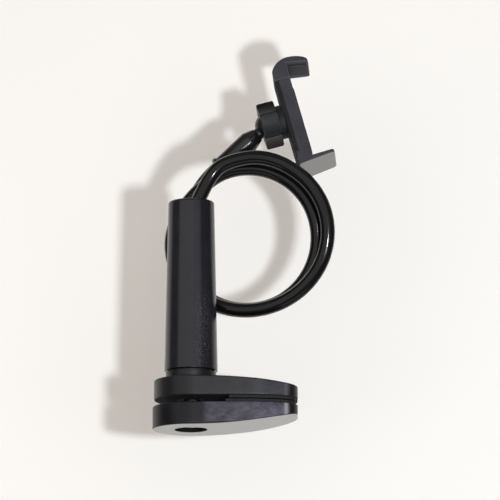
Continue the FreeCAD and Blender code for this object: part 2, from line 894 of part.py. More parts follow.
# Cradle back: a cover with the split socket that takes the ball. X is the socket's axis, Z is up.
half_width = d.cradle_width / 2
cover_front = d.bar_back + d.cover_thickness
back = new_body("cradle_back")
cover = outline(
    back,
    "cover_plan",
    "YZ_Plane",
    [
        (-half_width, -d.cover_bottom),
        (half_width, -d.cover_bottom),
        (half_width, d.shell_top),
        (-half_width, d.shell_top),
    ],
    height=d.bar_back,
)
pad(back, "cover_plate", cover, d.cover_thickness)
eased(back, "cover_rounds", "Fillet", d.edge_round, lambda e: box_of(e).XLength < 1e-6
      and abs(box_of(e).XMin - d.bar_back.value) < 1e-6)
flange = rounds(back, "flange_plan", "YZ_Plane", (0, 0, d.flange_diameter / 2), height=nut_high + d.seat_gap)
pad(back, "flange", flange, d.bar_back - nut_high - d.seat_gap + 0.5)
collet_ring = rounds(back, "collet_plan", "YZ_Plane", (0, 0, collet), height=as_size(0.9))
pad(back, "collet", collet_ring, nut_high)
cup = outline(
    back,
    "cup_profile",
    "XZ_Plane",
    [(0, 0), (seat_radius, 0, seat_radius), (0, seat_radius)],
)
cup_cut = back.newObject("PartDesign::Groove", "cup")
cup_cut.Profile = cup
cup_cut.ReferenceAxis = (cup, ["H_Axis"])
cup_cut.Angle = 360
slit = d.collet_slot / 2
slits = outline(
    back,
    "slit_plan",
    "YZ_Plane",
    [(-slit, -collet - 1), (slit, -collet - 1), (slit, collet + 1), (-slit, collet + 1)],
    height=as_size(0.5),
)
slit_cut = pocket(back, "slit", slits, nut_high - 1, upward=True)
slit_turn = back.newObject("PartDesign::PolarPattern", "slits")
slit_turn.Originals = [slit_cut]
slit_turn.Axis = (slits, ["N_Axis"])
slit_turn.Angle = 180
slit_turn.Occurrences = 2
back.Tip = slit_turn
screw_at = d.screw_spacing / 2
screw_holes = rounds(
    back,
    "screw_hole_plan",
    "YZ_Plane",
    (0, screw_at, d.screw_diameter / 2 + d.fit_gap),
    (0, -screw_at, d.screw_diameter / 2 + d.fit_gap),
    height=d.bar_back,
)
pocket(back, "screw_holes", screw_holes, d.cover_thickness + 1, upward=True)
screw_sinks = rounds(
    back,
    "screw_sink_plan",
    "YZ_Plane",
    (0, screw_at, d.screw_head_diameter / 2 + d.fit_gap),
    (0, -screw_at, d.screw_head_diameter / 2 + d.fit_gap),
    height=d.bar_back,
)
pocket(back, "screw_sinks", screw_sinks, d.screw_head_height + d.fit_gap, upward=True)
back.Placement = cradle_place

# Cradle front: a shell with the fixed lower lip, open at the back.
front = new_body("cradle_front")
lip_end = d.bar_front + d.lip_reach
heel = d.bar_back + d.heel_inset
floor = -d.shell_bottom
lower_root = floor + d.lip_thickness + d.lower_lip_root
lower_tip = floor + d.lip_lean + d.lip_thickness + 0.6
shell_side = [
    (cover_front + d.fit_gap, d.shell_top),
    (cover_front + d.fit_gap, -d.cover_bottom - d.fit_gap),
    (heel, -d.cover_bottom - d.fit_gap),
    (heel, floor),
    (lip_end, lower_tip - d.lip_thickness),
    (lip_end, lower_tip),
    (d.bar_front, lower_root),
    (d.bar_front, d.shell_top),
]
front_side = outline(front, "shell_side", "XZ_Plane", shell_side)
pad(front, "shell_block", front_side, d.cradle_width, True)


def lip_trim(body, name, root):
    # Narrows a lip toward its tip and rounds the tip's corners, seen along the cradle.
    tip_half = d.lip_tip_width / 2
    corner = d.lip_corner
    over = lip_end + 1
    side = half_width + 1
    loops = []
    for way in (1, -1):
        loops.append(
            [
                (root, way * half_width),
                (lip_end - corner, way * tip_half, way * -corner),
                (lip_end, way * (tip_half - corner)),
                (over, way * (tip_half - corner)),
                (over, way * side),
                (root, way * side),
            ]
        )
    plan = outline(body, name + "_plan", "XY_Plane", *loops)
    pocket(body, name, plan, symmetric=True)


lip_trim(front, "lower_lip_trim", d.bar_front)
parting = (cover_front + d.fit_gap).value
eased(front, "parting_line", "Fillet", d.parting_round, lambda e: abs(box_of(e).XMin - parting) < 1e-4
      and box_of(e).XLength < 1e-6 and box_of(e).YLength < 1e-6)
wall = d.shell_wall
cavity_floor = -d.cover_bottom + wall
cavity = outline(
    front,
    "cavity_plan",
    "YZ_Plane",
    [
        (-half_width + wall, cavity_floor),
        (half_width - wall, cavity_floor),
        (half_width - wall, d.shell_top - d.shell_roof),
        (-half_width + wall, d.shell_top - d.shell_roof),
    ],
    height=cover_front,
)
cavity_depth = d.bar_front - wall - cover_front
pocket(front, "cavity", cavity, cavity_depth, upward=True)
posts = rounds(
    front,
    "post_plan",
    "YZ_Plane",
    (0, screw_at, d.screw_post_diameter / 2),
    (0, -screw_at, d.screw_post_diameter / 2),
    height=cover_front + d.fit_gap,
)
pad(front, "screw_posts", posts, cavity_depth)
pilots = rounds(
    front,
    "pilot_plan",
    "YZ_Plane",
    (0, screw_at, d.screw_diameter / 2 + d.fit_gap),
    (0, -screw_at, d.screw_diameter / 2 + d.fit_gap),
    height=cover_front,
)
pocket(front, "pilots", pilots, cavity_depth, upward=True)
pin_x = (cover_front + d.bar_front - wall) / 2
pin_y = d.pin_spacing / 2
guides = rounds(
    front,
    "guide_plan",
    "XY_Plane",
    (pin_x, pin_y, d.pin_diameter / 2 + d.run_gap),
    (pin_x, -pin_y, d.pin_diameter / 2 + d.run_gap),
    height=d.shell_top,
)
pocket(front, "guide_holes", guides, d.shell_roof + 1)
front.Placement = cradle_place

# Sliding upper jaw, carried by two pins.
slider = new_body("cradle_slider")
head_bottom = d.shell_top + d.head_gap
head_back = d.bar_back + 0.2
shoulder = head_bottom + d.head_shoulder
crown = head_bottom + d.head_crown
lip_top = crown - d.upper_lip_drop
crown_at = d.bar_front + d.crown_shift
upper_root = crown - d.lip_thickness - d.upper_lip_root


def level_at_end(run, rise):
    # Radius of an arc that climbs by rise over run and ends level.
    return (run * run + rise * rise) / (2 * rise)


slider_side = [
    (head_back, head_bottom),
    (d.bar_front, head_bottom),
    (d.bar_front, upper_root),
    (lip_end, lip_top - d.lip_thickness),
    (lip_end, lip_top, level_at_end(lip_end - crown_at, crown - lip_top)),
    (crown_at, crown, level_at_end(crown_at - head_back, crown - shoulder)),
    (head_back, shoulder),
]
slider_outline = outline(slider, "slider_side", "XZ_Plane", slider_side)
pad(slider, "slider_block", slider_outline, d.cradle_width, True)
lip_trim(slider, "upper_lip_trim", d.bar_front)
sockets = rounds(
    slider,
    "pin_socket_plan",
    "XY_Plane",
    (pin_x, pin_y, d.pin_diameter / 2 + d.fit_gap),
    (pin_x, -pin_y, d.pin_diameter / 2 + d.fit_gap),
    height=head_bottom,
)
pocket(slider, "pin_sockets", sockets, d.pin_grip + d.fit_gap, upward=True)
slider.Placement = cradle_place


def lip_pad(name, root_height, tip_height, inward):
    # A soft pad that lies along a lip's inner face.
    body = new_body(name)
    start = d.bar_front + d.lip_pad_inset
    stop = lip_end - d.lip_pad_inset
    rise = (tip_height - root_height) / d.lip_reach
    base = root_height + rise * d.lip_pad_inset + inward * d.fit_gap
    far = tip_height - rise * d.lip_pad_inset + inward * d.fit_gap
    face = inward * d.lip_pad_thickness
    side = [(start, base), (stop, far), (stop, far + face), (start, base + face)]
    pad(body, name + "_block", outline(body, name + "_side", "XZ_Plane", side), d.lip_pad_width, True)
    body.Placement = cradle_place


lip_pad("lower_lip_pad", lower_root, lower_tip, 1)
lip_pad("upper_lip_pad", upper_root, lip_top - d.lip_thickness, -1)

# Soft liner on the front's face, where the phone's back rests.
rest_pad = new_body("rest_pad")
rest_half = d.rest_pad_width / 2
rest_round = d.rest_pad_corner
rest_high = d.rest_pad_top
rest_low = -d.rest_pad_bottom
rest_plan = outline(
    rest_pad,
    "rest_plan",
    "YZ_Plane",
    [
        (-rest_half + rest_round, rest_low),
        (rest_half - rest_round, rest_low, rest_round),
        (rest_half, rest_low + rest_round),
        (rest_half, rest_high - rest_round, rest_round),
        (rest_half - rest_round, rest_high),
        (-rest_half + rest_round, rest_high, rest_round),
        (-rest_half, rest_high - rest_round),
        (-rest_half, rest_low + rest_round, rest_round),
    ],
    height=d.bar_front + d.fit_gap,
)
pad(rest_pad, "rest_sheet", rest_plan, d.rest_pad_thickness)
rest_pad.Placement = cradle_place

pin_low = head_bottom - d.pin_drop
for side, way in (("near", -1), ("far", 1)):
    spot = FreeCAD.Placement(Vector(pin_x.value, way * pin_y.value, 0), FreeCAD.Rotation())
    pin = new_body("guide_pin_" + side)
    turned(
        pin,
        "pin_blank_" + side,
        [
            (0, pin_low),
            (d.pin_head_diameter / 2, pin_low),
            (d.pin_head_diameter / 2, pin_low + d.pin_head_height),
            (d.pin_diameter / 2, pin_low + d.pin_head_height),
            (d.pin_diameter / 2, head_bottom + d.pin_grip),
            (0, head_bottom + d.pin_grip),
        ],
    )
    pin.Placement = cradle_place * spot
    spring = new_body("return_spring_" + side)
    coil_outer = d.spring_diameter / 2
    spring_low = pin_low + d.pin_head_height + d.seat_gap
    spring_high = d.shell_top - d.shell_roof - d.fit_gap
    turned(
        spring,
        "spring_wall_" + side,
        [
            (coil_outer - d.spring_wire, spring_low),
            (coil_outer, spring_low),
            (coil_outer, spring_high),
            (coil_outer - d.spring_wire, spring_high),
        ],
    )
    spring.Placement = cradle_place * spot

for side, way in (("upper", 1), ("lower", -1)):
    screw = new_body("cover_screw_" + side)
    head_from = d.bar_back
    turned(
        screw,
        "screw_blank_" + side,
        [
            (0, head_from),
            (d.screw_head_diameter / 2, head_from),
            (d.screw_head_diameter / 2, head_from + d.screw_head_height),
            (d.screw_diameter / 2, head_from + d.screw_head_height),
            (d.screw_diameter / 2, head_from + d.screw_length),
            (0, head_from + d.screw_length),
        ],
    )
    spot = Vector(0, way * screw_at.value, 0)
    screw.Placement = nut_place * FreeCAD.Placement(spot, FreeCAD.Rotation())

doc.recompute()
os.makedirs("parts", exist_ok=True)
faults = []
for thing in doc.Objects:
    if "Invalid" in thing.State or "Error" in thing.State:
        faults.append("%s %s" % (thing.Name, thing.State))
for node in nodes:
    if node.Shape.isNull() or not node.Shape.isValid() or len(node.Shape.Solids) != 1:
        faults.append("%s has no single good solid" % node.Label)
if faults:
    raise RuntimeError("; ".join(faults))
for node in nodes:
    node.Shape.exportStep("parts/%s.step" % node.Label)
    print("%-20s %9.1f mm3" % (node.Label, node.Shape.Volume))
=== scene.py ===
import json
import math

import bpy
from mathutils import Matrix, Vector


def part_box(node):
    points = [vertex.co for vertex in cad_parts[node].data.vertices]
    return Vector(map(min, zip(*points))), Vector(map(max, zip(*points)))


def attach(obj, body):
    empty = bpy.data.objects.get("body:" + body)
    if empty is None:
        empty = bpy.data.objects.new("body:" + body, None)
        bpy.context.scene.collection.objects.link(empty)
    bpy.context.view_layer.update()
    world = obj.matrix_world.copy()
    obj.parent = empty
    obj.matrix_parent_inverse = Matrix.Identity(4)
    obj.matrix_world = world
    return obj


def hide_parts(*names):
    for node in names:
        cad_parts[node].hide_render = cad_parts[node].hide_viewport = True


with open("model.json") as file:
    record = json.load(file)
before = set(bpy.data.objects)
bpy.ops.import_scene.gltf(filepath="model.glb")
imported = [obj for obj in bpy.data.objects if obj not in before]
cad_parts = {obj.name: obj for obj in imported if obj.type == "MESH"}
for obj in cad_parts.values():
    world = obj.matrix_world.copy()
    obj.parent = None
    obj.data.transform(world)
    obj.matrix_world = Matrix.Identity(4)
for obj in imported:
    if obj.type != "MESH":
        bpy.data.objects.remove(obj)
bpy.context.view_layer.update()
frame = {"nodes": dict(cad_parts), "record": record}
scene = bpy.context.scene
scene.view_settings.view_transform = "Standard"
print("frame loaded with", len(frame["nodes"]), "nodes")

shot = {
    "aim": (0.0376, 0.0, 0.0995),
    "distance": 4.0,
    "below": 10.7,  # degrees that the camera stands under the aim
    "lens": 450.0,
    "sensor": 36.0,
    "farClip": 50.0,
}
lens = bpy.data.cameras.new("photoCamera")
lens.lens = shot["lens"]
lens.sensor_width = shot["sensor"]
lens.clip_end = shot["farClip"]
camera = bpy.data.objects.new("photoCamera", lens)
scene.collection.objects.link(camera)
drop = math.radians(shot["below"])
toCamera = Vector((0, -math.cos(drop), -math.sin(drop)))
camera.location = Vector(shot["aim"]) + toCamera * shot["distance"]
camera.rotation_euler = (-toCamera).to_track_quat("-Z", "Y").to_euler()
scene.camera = camera
print("camera set")


class Wire:  # one socket of a node tree, so that sums of sockets read as sums
    def __init__(self, tree, out=None):
        self.tree = tree
        self.out = out

    def node(self, kind, setup=None, inputs=None, output=0):
        made = self.tree.nodes.new(kind)
        for key, value in (setup or {}).items():
            setattr(made, key, value)
        for key, value in (inputs or {}).items():
            if isinstance(value, Wire):
                self.tree.links.new(value.out, made.inputs[key])
            else:
                made.inputs[key].default_value = value
        return Wire(self.tree, made.outputs[output] if len(made.outputs) else None)

    def maths(self, operation, first, second=0.0):
        return self.node("ShaderNodeMath", {"operation": operation}, {0: first, 1: second})

    def __add__(self, other):
        return self.maths("ADD", self, other)

    def __radd__(self, other):
        return self.maths("ADD", other, self)

    def __sub__(self, other):
        return self.maths("SUBTRACT", self, other)

    def __rsub__(self, other):
        return self.maths("SUBTRACT", other, self)

    def __mul__(self, other):
        return self.maths("MULTIPLY", self, other)

    def __truediv__(self, other):
        return self.maths("DIVIDE", self, other)

    def least(self, other):
        return self.maths("MINIMUM", self, other)

    def most(self, other):
        return self.maths("MAXIMUM", self, other)

    def between(self, low, high):  # 0 at low, 1 at high, eased
        ease = {"interpolation_type": "SMOOTHSTEP"}
        return self.node("ShaderNodeMapRange", ease, {0: self, 1: low, 2: high, 3: 0.0, 4: 1.0})

    def span(self, rise, fall):  # 1 from the end of the rise to the start of the fall
        return self.between(*rise) * (1 - self.between(*fall))

    def swing(self, reach):  # a noise about zero
        return (self - 0.5) * reach

    def blend(self, first, second):  # colours, this socket as the share of the second
        first = (*first, 1) if isinstance(first, tuple) else first
        second = (*second, 1) if isinstance(second, tuple) else second
        return self.node("ShaderNodeMix", {"data_type": "RGBA"}, {0: self, 6: first, 7: second}, 2)

    def noise(self, place, scale, detail, rough):
        sizes = {"Vector": place, "Scale": scale, "Detail": detail, "Roughness": rough}
        return self.node("ShaderNodeTexNoise", None, sizes)

    def streaks(self, place, scales, detail, rough):  # noise with its own scale along each axis
        stretched = self.node("ShaderNodeMapping", None, {"Vector": place, "Scale": scales})
        return self.noise(stretched, 1.0, detail, rough)

    def coordinate(self, kind):
        return self.node("ShaderNodeTexCoord", None, None, kind)

    def parts(self, place):
        split = self.node("ShaderNodeSeparateXYZ", None, {0: place})
        return [Wire(self.tree, out) for out in split.out.node.outputs]


def newMaterial(name):
    material = bpy.data.materials.new(name)
    material.use_nodes = True
    material.node_tree.nodes.clear()
    return material, Wire(material.node_tree)


mottle = {
    "detail": 4.0,
    "spread": (0.3, 0.7),
}


def mottled(pen, place, finish):  # slow noise, and the shade that it picks between dark and light
    cloud = pen.noise(place, finish["cloudScale"], mottle["detail"], finish["cloudRough"])
    return cloud, cloud.between(*mottle["spread"]).blend(finish["dark"], finish["light"])


edgeFinder = {
    "samples": 6,
    "spread": (0.01, 0.16),
}


def edgeOf(pen, radius):  # the rounded normal, and where an edge is
    soft = pen.node("ShaderNodeBevel", {"samples": edgeFinder["samples"]}, {"Radius": radius})
    plain = pen.node("ShaderNodeNewGeometry", None, None, "Normal")
    dot = {"operation": "DOT_PRODUCT"}
    facing = pen.node("ShaderNodeVectorMath", dot, {0: soft, 1: plain}, "Value")
    return soft, (1 - facing).between(*edgeFinder["spread"])


def dressed(pen, colour, rough, relief, finish, fixed):  # the closing shader, with its fine relief
    depths = {"Strength": finish["reliefStrength"], "Distance": finish["reliefDepth"]}
    normal = pen.node("ShaderNodeBump", None, {**depths, **relief})
    links = {"Base Color": colour, "Roughness": rough, "Normal": normal}
    surface = pen.node("ShaderNodeBsdfPrincipled", None, {**links, **fixed})
    pen.node("ShaderNodeOutputMaterial", None, {"Surface": surface})


def mouldedPlastic(name, finish):
    material, pen = newMaterial(name)
    place = pen.coordinate("Object")
    across, depth, height = pen.parts(place)
    facing = pen.parts(pen.coordinate("Normal"))
    back = (facing[0] * -1.0).between(*finish["sideSlope"])
    front = (facing[1] * -1.0).between(*finish["sideSlope"])
    under = (facing[2] * -1.0).between(*finish["underSlope"])
    boreEdge = finish["boreRadius"] ** 2
    outside = (across * across + depth * depth).between(boreEdge * finish["boreSoft"], boreEdge)
    bore = (1 - outside) * (1 - under)  # walls of the bolt's recess, darkened with painted shade

    cloud, colour = mottled(pen, place, finish)
    grain = pen.noise(place, finish["grainScale"], detail=2.0, rough=0.6)
    scuff = pen.streaks(place, finish["scuffScales"], detail=6.0, rough=0.75)
    soft, edge = edgeOf(pen, finish["edgeRadius"])
    # painted sheen: a pale patch on the front faces, stronger towards the tip, broken up by smudge-like noise
    paintedSheen = scuff.between(*finish["scuffSpread"]) * (1 - finish["sheenLeast"]) + finish["sheenLeast"]
    paintedSheen = paintedSheen * across.span(finish["sheenStart"], finish["sheenStop"]) * finish["paintedSheen"]
    paintedSheen = paintedSheen * (across.between(*finish["sheenRiseRun"]) * finish["sheenRise"] + 1.0)
    # painted highlight: a pale line where the tip's rounded corner catches the light
    tipHighlight = across.span(finish["tipHighlightStart"], finish["tipHighlightStop"]) * finish["tipHighlight"]  # painted highlight line by the jaw's tip
    # painted shade: a dark line along the lower edge of the side
    edgeShade = across.between(*finish["edgeShadeStart"]) * (1 - height.between(*finish["edgeShadeHeight"]))
    # pale edges: edge wear, and on the nut and the slider a painted glint along the edges
    wornAndGlint = edge * cloud.between(*finish["wearAndGlintSpread"]) * finish["wearAndGlint"]
    colour = (paintedSheen * front).blend(colour, finish["sheenTint"])
    colour = (tipHighlight * front).blend(colour, finish["tipHighlightTint"])
    colour = (edgeShade * (1 - under)).blend(colour, finish["paintedShade"])  # painted shade line along the lower edge
    colour = wornAndGlint.blend(colour, finish["wornAndGlint"])
    # painted shade darkens the walls of the bolt's recess
    colour = (bore * finish["boreShade"]).blend(colour, finish["paintedShade"])

    rough = cloud.swing(finish["cloudSwing"]) + grain.swing(finish["grainSwing"]) + finish["rough"]
    rough = rough + under * (finish["underRough"] - finish["rough"])
    rough = rough + back * (finish["backRough"] - finish["rough"]) + bore * finish["boreRough"]
    polish = {
        "Specular IOR Level": finish["specular"],
        "Coat Weight": under * finish["underCoat"],
        "Coat Roughness": finish["coatRough"],
        "Coat IOR": finish["coatIor"],
    }
    dressed(pen, colour, rough, {"Height": grain, "Normal": soft}, finish, polish)
    return material


jawFinish = {
    "dark": (0.0055, 0.0055, 0.0072),
    "light": (0.0085, 0.008, 0.011),
    "cloudScale": 90.0,
    "cloudRough": 0.6,
    "cloudSwing": 0.14,
    "grainScale": 2600.0,
    "grainSwing": 0.08,
    "reliefStrength": 0.22,
    "reliefDepth": 0.0001,
    "rough": 0.36,
    "specular": 0.34,
    "sideSlope": (0.5, 0.9),  # how squarely a face looks to a side before it counts
    "backRough": 0.36,
    "underSlope": (0.6, 0.86),
    "underRough": 0.8,
    "underCoat": 0.0,
    "coatRough": 0.1,
    "coatIor": 1.5,
    "edgeRadius": 0.0007,
    "wornAndGlint": (0.055, 0.054, 0.058),
    "wearAndGlint": 0.55,
    "wearAndGlintSpread": (0.36, 0.62),
    "paintedSheen": 0.16,  # painted sheen on the front, broken up like handling smudges
    "sheenTint": (0.108, 0.1, 0.135),
    "sheenStart": (0.0, 0.055),
    "sheenStop": (0.062, 0.064),
    "sheenLeast": 0.25,
    "sheenRise": 1.8,
    "sheenRiseRun": (0.047, 0.058),
    "scuffScales": (110.0, 110.0, 190.0),
    "scuffSpread": (0.32, 0.72),
    "tipHighlight": 0.3,
    "tipHighlightTint": (0.17, 0.168, 0.18),
    "tipHighlightStart": (0.0583, 0.0605),
    "tipHighlightStop": (0.0608, 0.0626),
    "edgeShadeStart": (0.0, 0.02),
    "edgeShadeHeight": (-1.0, -0.9),  # below every piece, so no painted shade line
    "boreRadius": 0.0001,
    "boreSoft": 0.95,
    "boreShade": 0.85,
    "boreRough": 0.4,
    "paintedShade": (0.001, 0.001, 0.001),
}
lowerJawFinish = dict(
    jawFinish,
    specular=0.22,
    underRough=0.14,
    underCoat=0.34,
    wearAndGlint=0.25,
    # painted sheen over the front of the lower jaw, strongest towards its tip
    paintedSheen=0.78,
    sheenStart=(0.0065, 0.0122),
    sheenRise=0.5,
    sheenRiseRun=(0.03, 0.052),
    tipHighlight=1.0,
    tipHighlightTint=(0.27, 0.267, 0.285),
    edgeShadeHeight=(-0.0156, -0.0151),
    boreRadius=0.0108,
)
# the jaw finish without the painted sheen and the painted tip highlight
sheenlessFinish = dict(jawFinish, paintedSheen=0.0, tipHighlight=0.0)
plugFinish = dict(sheenlessFinish, rough=0.5, wearAndGlint=0.2)
jointFinish = dict(
    sheenlessFinish,
    dark=(0.006, 0.006, 0.0068),
    light=(0.009, 0.009, 0.010),
    rough=0.34,
    specular=0.42,
    underRough=0.3,
    wearAndGlint=0.35,
)
nutFinish = dict(
    jointFinish,
    dark=(0.002, 0.0022, 0.0024),
    light=(0.0036, 0.004, 0.0044),
    rough=0.42,
    specular=0.14,
    # the pale edges here are painted glints along the lobes' rims
    wornAndGlint=(0.2, 0.21, 0.22),
    wearAndGlint=0.6,
)
sleeveFinish = dict(
    jointFinish,
    dark=(0.006, 0.006, 0.0066),
    light=(0.010, 0.0099, 0.0106),
    rough=0.15,
    specular=0.46,
)
cradleFinish = dict(
    sheenlessFinish,
    dark=(0.010, 0.010, 0.011),
    light=(0.015, 0.015, 0.017),
    grainScale=3200.0,
    rough=0.6,
    specular=0.25,
    backRough=0.85,
    underRough=0.6,
    wearAndGlint=0.7,
)
shellFinish = dict(
    cradleFinish,
    dark=(0.031, 0.03, 0.038),
    light=(0.043, 0.041, 0.052),
    rough=0.42,
    specular=0.42,
    underRough=0.12,
    underCoat=1.0,
    coatIor=1.85,
)
sliderFinish = dict(
    shellFinish,
    underRough=0.5,
    underCoat=0.0,
    # the pale edges here are a painted highlight along the slider's edges
    wornAndGlint=(0.16, 0.16, 0.165),
    wearAndGlint=0.8,
    wearAndGlintSpread=(0.1, 0.4),
)
jawPlastic = mouldedPlastic("jawPlastic", jawFinish)
lowerJawPlastic = mouldedPlastic("lowerJawPlastic", lowerJawFinish)
jointPlastic = mouldedPlastic("jointPlastic", jointFinish)
cradlePlastic = mouldedPlastic("cradlePlastic", cradleFinish)
shellPlastic = mouldedPlastic("shellPlastic", shellFinish)
sliderPlastic = mouldedPlastic("sliderPlastic", sliderFinish)
nutPlastic = mouldedPlastic("nutPlastic", nutFinish)
sleevePlastic = mouldedPlastic("sleevePlastic", sleeveFinish)
plugPlastic = mouldedPlastic("plugPlastic", plugFinish)


def handleShell(name, finish):  # satin tube with a rubbed, speckled strip low on its front
    material, pen = newMaterial(name)
    place = pen.coordinate("Object")
    across, depth, height = pen.parts(place)
    cloud, colour = mottled(pen, place, finish)
    grain = pen.noise(place, finish["grainScale"], detail=2.0, rough=0.55)
    streak = pen.streaks(place, finish["streakScales"], detail=3.0, rough=0.6)
    soft, edge = edgeOf(pen, finish["edgeRadius"])
    strip = height.span(*finish["stripHeight"]) * across.span(*finish["stripWidth"])
    strip = strip * (1 - depth.between(*finish["stripDepth"]))
    speck = pen.noise(place, finish["speckScale"], detail=3.0, rough=0.7)
    speck = speck.between(*finish["speckSpread"]) * strip
    wornAndGlint = edge * cloud.between(*finish["wearAndGlintSpread"]) * finish["wearAndGlint"]
    colour = (speck * finish["speckShare"]).blend(colour, finish["rubbed"])
    colour = wornAndGlint.blend(colour, finish["wornAndGlint"])
    rough = cloud.swing(finish["cloudSwing"]) + streak.swing(finish["streakSwing"]) + finish["rough"]
    rough = rough + strip * finish["stripRough"]
    relief = {"Height": grain + speck * finish["speckRise"], "Normal": soft}
    dressed(pen, colour, rough, relief, finish, {"Specular IOR Level": finish["specular"]})
    return material


handleFinish = {
    "dark": (0.0085, 0.0083, 0.0122),
    "light": (0.012, 0.0117, 0.0176),
    "cloudScale": 60.0,
    "cloudRough": 0.6,
    "cloudSwing": 0.1,
    "grainScale": 2400.0,
    "streakScales": (900.0, 900.0, 14.0),
    "streakSwing": 0.05,
    "reliefStrength": 0.12,
    "reliefDepth": 0.0001,
    "rough": 0.21,
    "specular": 0.4,
    "edgeRadius": 0.0005,
    "wornAndGlint": (0.05, 0.05, 0.052),
    "wearAndGlint": 0.5,
    "wearAndGlintSpread": (0.4, 0.6),
    "rubbed": (0.13, 0.13, 0.14),
    "stripHeight": ((0.012, 0.032), (0.056, 0.086)),  # where it comes up, and where it fades
    "stripWidth": ((0.0015, 0.0065), (0.0085, 0.0135)),
    "stripDepth": (-0.006, 0.0),
    "stripRough": 0.05,
    "speckScale": 1500.0,
    "speckSpread": (0.54, 0.64),
    "speckShare": 0.7,
    "speckRise": 1.5,
}
handleBlack = handleShell("handleBlack", handleFinish)


def armSheath(name, finish):  # glossy soft sheath, faintly uneven over the coil inside
    material, pen = newMaterial(name)
    place = pen.coordinate("Object")
    cloud, colour = mottled(pen, place, finish)
    skin = pen.noise(place, finish["skinScale"], detail=2.0, rough=0.5)
    scuff = pen.streaks(place, finish["scuffScales"], detail=4.0, rough=0.7)
    scuffed = scuff.between(*finish["scuffSpread"]) * finish["scuffRough"]
    rough = cloud.swing(finish["cloudSwing"]) + scuffed + finish["rough"]
    dressed(pen, colour, rough, {"Height": skin}, finish, {"Specular IOR Level": finish["specular"]})
    return material


sheathFinish = {
    "dark": (0.003, 0.003, 0.0033),
    "light": (0.005, 0.005, 0.0056),
    "cloudScale": 45.0,
    "cloudRough": 0.6,
    "cloudSwing": 0.08,
    "skinScale": 420.0,
    "reliefStrength": 0.05,
    "reliefDepth": 0.0002,
    "rough": 0.13,
    "specular": 0.3,
    "scuffScales": (500.0, 500.0, 60.0),
    "scuffSpread": (0.62, 0.8),
    "scuffRough": 0.12,
}
sheathBlack = armSheath("sheathBlack", sheathFinish)


def ribbedRubber(name, finish):  # grip pads, with fine ribs across them
    material, pen = newMaterial(name)
    place = pen.coordinate("Object")
    halfPitch = finish["pitch"] / 2
    rib = pen.maths("PINGPONG", pen.parts(place)[finish["axis"]], halfPitch) / halfPitch
    cloud, colour = mottled(pen, place, finish)
    grain = pen.noise(place, finish["grainScale"], detail=2.0, rough=0.6)
    dusty = grain.between(*finish["dustSpread"]) * finish["dustShare"]
    colour = dusty.blend(colour, finish["dust"])
    rough = cloud.swing(finish["cloudSwing"]) + finish["rough"]
    rise = rib.between(*finish["ribSpread"]) * finish["ribRise"] + grain * finish["grainRise"]
    dressed(pen, colour, rough, {"Height": rise}, finish, {"Specular IOR Level": finish["specular"]})
    return material


padFinish = {
    "dark": (0.010, 0.010, 0.010),
    "light": (0.016, 0.016, 0.017),
    "cloudScale": 160.0,
    "cloudRough": 0.65,
    "cloudSwing": 0.2,
    "grainScale": 3000.0,
    "grainRise": 0.25,
    "dust": (0.06, 0.058, 0.055),
    "dustSpread": (0.62, 0.8),
    "dustShare": 0.4,
    "axis": 0,  # along which the ribs follow each other
    "pitch": 0.0024,
    "ribSpread": (0.25, 0.75),
    "ribRise": 1.0,
    "reliefStrength": 0.7,
    "reliefDepth": 0.0003,
    "rough": 0.72,
    "specular": 0.3,
}
lipFinish = dict(
    padFinish,
    dark=(0.044, 0.043, 0.05),
    light=(0.057, 0.055, 0.064),
    axis=1,
    pitch=0.0016,
    ribRise=0.4,
)
restFinish = dict(padFinish, light=(0.02, 0.02, 0.021), axis=2, pitch=0.003)
jawPadRubber = ribbedRubber("jawPadRubber", padFinish)
lipPadRubber = ribbedRubber("lipPadRubber", lipFinish)
restPadRubber = ribbedRubber("restPadRubber", restFinish)


def turnedSteel(name, finish):  # lathe-marked metal
    material, pen = newMaterial(name)
    place = pen.coordinate("Object")
    cloud, colour = mottled(pen, place, finish)
    marks = pen.streaks(place, finish["markScales"], detail=3.0, rough=0.6)
    soft, edge = edgeOf(pen, finish["edgeRadius"])
    colour = (edge * finish["wearAndGlint"]).blend(colour, finish["wornAndGlint"])
    rough = marks.swing(finish["markSwing"]) + cloud.swing(finish["cloudSwing"]) + finish["rough"]
    dressed(pen, colour, rough, {"Height": marks, "Normal": soft}, finish, {"Metallic": 1.0})
    return material


zincFinish = {
    "dark": (0.36, 0.36, 0.38),
    "light": (0.46, 0.46, 0.47),
    "cloudScale": 130.0,
    "cloudRough": 0.6,
    "cloudSwing": 0.1,
    "markScales": (300.0, 300.0, 3000.0),
    "markSwing": 0.25,
    "reliefStrength": 0.15,
    "reliefDepth": 0.0001,
    "rough": 0.3,
    "edgeRadius": 0.0003,
    "wornAndGlint": (0.62, 0.62, 0.62),
    "wearAndGlint": 0.6,
}
wireFinish = dict(zincFinish, dark=(0.5, 0.5, 0.52), light=(0.62, 0.62, 0.63), rough=0.2)
blackFinish = dict(
    zincFinish,
    dark=(0.03, 0.03, 0.032),
    light=(0.06, 0.06, 0.063),
    rough=0.26,
    wornAndGlint=(0.45, 0.45, 0.45),
)
dullFinish = dict(blackFinish, rough=0.6, wornAndGlint=(0.12, 0.12, 0.12))
zincSteel = turnedSteel("zincSteel", zincFinish)
brightWire = turnedSteel("brightWire", wireFinish)
blackSteel = turnedSteel("blackSteel", blackFinish)
dullSteel = turnedSteel("dullSteel", dullFinish)

